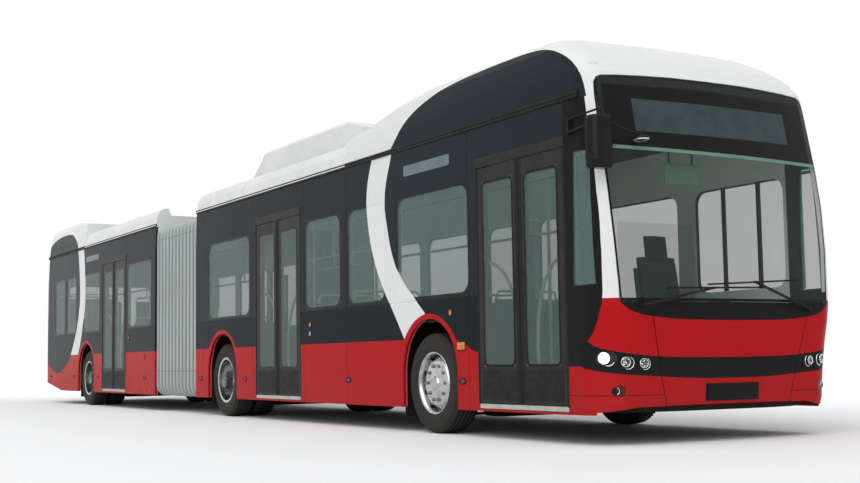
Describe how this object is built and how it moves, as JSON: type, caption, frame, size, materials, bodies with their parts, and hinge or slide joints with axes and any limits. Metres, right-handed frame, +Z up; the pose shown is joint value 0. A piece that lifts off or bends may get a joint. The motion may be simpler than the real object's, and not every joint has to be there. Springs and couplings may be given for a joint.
{
  "type": "articulated bus",
  "caption": "Low-floor articulated city bus: front section with steered axle, bellows over a turntable, trailing rear section, inward-swinging doors and a domed white roof.",
  "frame": {"origin": "on the ground, below the middle of the bus's box", "axes": "+X forward to the windscreen, +Y to the bus's left, +Z up"},
  "size_m": [18.209, 2.66, 3.44],
  "materials": {
    "body_dark": "gloss",
    "roof_white": "gloss",
    "lid_dark": "gloss",
    "glazing": "clear, lightly tinted",
    "lamp_lens": "clear",
    "tail_lens": "gloss",
    "floor_cover": "matt",
    "bellows_cloth": "coated cloth",
    "axle_steel": "painted black",
    "seat_shell": "satin",
    "rail_enamel": "gloss",
    "cab_trim": "matt",
    "trim_black": "satin",
    "door_frame": "satin",
    "wheel_alloy": "polished",
    "tyre": "matt"
  },
  "bodies": {
    "front_section": {"front_sides": "body_dark", "front_mask": "body_dark", "front_dome": "roof_white", "front_roof": "roof_white", "front_floor": "floor_cover", "roof_unit": "roof_white", "windscreen": "glazing", "front_windows": "glazing", "front_lamps": "lamp_lens", "mirrors": "trim_black", "wipers": "trim_black", "front_seats": "seat_shell", "front_handrails": "rail_enamel", "cab": "cab_trim", "front_axle": "axle_steel", "middle_axle": "axle_steel", "turntable_lower": "axle_steel", "bellows": "bellows_cloth"},
    "rear_section": {"rear_sides": "body_dark", "rear_end": "body_dark", "rear_dome": "roof_white", "rear_roof": "roof_white", "rear_floor": "floor_cover", "rear_windows": "glazing", "rear_lamps": "tail_lens", "rear_seats": "seat_shell", "rear_handrails": "rail_enamel", "rear_axle": "axle_steel", "turntable_upper": "axle_steel", "power_pack": "axle_steel"},
    "rear_lid": {"rear_lid": "lid_dark"},
    "knuckle_left": {"knuckle_left": "axle_steel"},
    "knuckle_right": {"knuckle_right": "axle_steel"},
    "tie_rod": {"tie_rod": "axle_steel"},
    "front_wheel_left": {"front_tyre_left": "tyre", "front_rim_left": "wheel_alloy"},
    "front_wheel_right": {"front_tyre_right": "tyre", "front_rim_right": "wheel_alloy"},
    "middle_wheel_left": {"middle_tyres_left": "tyre", "middle_rim_left": "wheel_alloy"},
    "middle_wheel_right": {"middle_tyres_right": "tyre", "middle_rim_right": "wheel_alloy"},
    "rear_wheel_left": {"rear_tyres_left": "tyre", "rear_rim_left": "wheel_alloy"},
    "rear_wheel_right": {"rear_tyres_right": "tyre", "rear_rim_right": "wheel_alloy"},
    "door1_leaf_a": {"door1_leaf_a": "door_frame", "door1_glass_a": "glazing"},
    "door1_leaf_b": {"door1_leaf_b": "door_frame", "door1_glass_b": "glazing"},
    "door2_leaf_a": {"door2_leaf_a": "door_frame", "door2_glass_a": "glazing"},
    "door2_leaf_b": {"door2_leaf_b": "door_frame", "door2_glass_b": "glazing"},
    "door3_leaf_a": {"door3_leaf_a": "door_frame", "door3_glass_a": "glazing"},
    "door3_leaf_b": {"door3_leaf_b": "door_frame", "door3_glass_b": "glazing"}
  },
  "joints": [
    {"name": "articulation", "type": "hinge", "parent": "front_section", "child": "rear_section", "pos_m": [-1.235, 0, 0.27], "axis": [0, 0, 1], "range_deg": [-45, 45], "deforming": ["bellows"]},
    {"name": "steer_left", "type": "hinge", "parent": "front_section", "child": "knuckle_left", "pos_m": [6.24, 0.93, 0.479], "axis": [0, 0, 1], "range_deg": [-40, 40]},
    {"name": "steer_right", "type": "hinge", "parent": "front_section", "child": "knuckle_right", "pos_m": [6.24, -0.93, 0.479], "axis": [0, 0, 1], "range_deg": [-40, 40]},
    {"name": "tie_rod_end", "type": "hinge", "parent": "knuckle_left", "child": "tie_rod", "pos_m": [6.02, 0.93, 0.162], "axis": [0, 0, 1], "range_deg": [-40, 40]},
    {"name": "front_spin_left", "type": "hinge", "parent": "knuckle_left", "child": "front_wheel_left", "pos_m": [6.24, 1.1025, 0.479], "axis": [0, 1, 0], "continuous": true},
    {"name": "front_spin_right", "type": "hinge", "parent": "knuckle_right", "child": "front_wheel_right", "pos_m": [6.24, -1.1025, 0.479], "axis": [0, 1, 0], "continuous": true},
    {"name": "middle_spin_left", "type": "hinge", "parent": "front_section", "child": "middle_wheel_left", "pos_m": [0.7, 0.937, 0.479], "axis": [0, 1, 0], "continuous": true},
    {"name": "middle_spin_right", "type": "hinge", "parent": "front_section", "child": "middle_wheel_right", "pos_m": [0.7, -0.937, 0.479], "axis": [0, 1, 0], "continuous": true},
    {"name": "rear_spin_left", "type": "hinge", "parent": "rear_section", "child": "rear_wheel_left", "pos_m": [-6.07, 0.937, 0.479], "axis": [0, 1, 0], "continuous": true},
    {"name": "rear_spin_right", "type": "hinge", "parent": "rear_section", "child": "rear_wheel_right", "pos_m": [-6.07, -0.937, 0.479], "axis": [0, 1, 0], "continuous": true},
    {"name": "door1_swing_a", "type": "hinge", "parent": "front_section", "child": "door1_leaf_a", "pos_m": [7.185, -1.19, 0.306], "axis": [0, 0, 1], "range_deg": [0, 90]},
    {"name": "door1_swing_b", "type": "hinge", "parent": "front_section", "child": "door1_leaf_b", "pos_m": [8.455, -1.19, 0.306], "axis": [0, 0, 1], "range_deg": [-90, 0]},
    {"name": "door2_swing_a", "type": "hinge", "parent": "front_section", "child": "door2_leaf_a", "pos_m": [1.935, -1.19, 0.306], "axis": [0, 0, 1], "range_deg": [0, 90]},
    {"name": "door2_swing_b", "type": "hinge", "parent": "front_section", "child": "door2_leaf_b", "pos_m": [3.205, -1.19, 0.306], "axis": [0, 0, 1], "range_deg": [-90, 0]},
    {"name": "door3_swing_a", "type": "hinge", "parent": "rear_section", "child": "door3_leaf_a", "pos_m": [-4.995, -1.19, 0.306], "axis": [0, 0, 1], "range_deg": [0, 90]},
    {"name": "door3_swing_b", "type": "hinge", "parent": "rear_section", "child": "door3_leaf_b", "pos_m": [-3.725, -1.19, 0.306], "axis": [0, 0, 1], "range_deg": [-90, 0]},
    {"name": "lid_hinge", "type": "hinge", "parent": "rear_section", "child": "rear_lid", "pos_m": [-9.088, 0, 1.174], "axis": [0, 1, 0], "range_deg": [0, 80]}
  ],
  "couplings": [
    {"joint": "steer_right", "follows": "steer_left", "ratio": 1},
    {"joint": "tie_rod_end", "follows": "steer_left", "ratio": -1},
    {"joint": "door1_swing_b", "follows": "door1_swing_a", "ratio": -1},
    {"joint": "door2_swing_b", "follows": "door2_swing_a", "ratio": -1},
    {"joint": "door3_swing_b", "follows": "door3_swing_a", "ratio": -1}
  ]
}
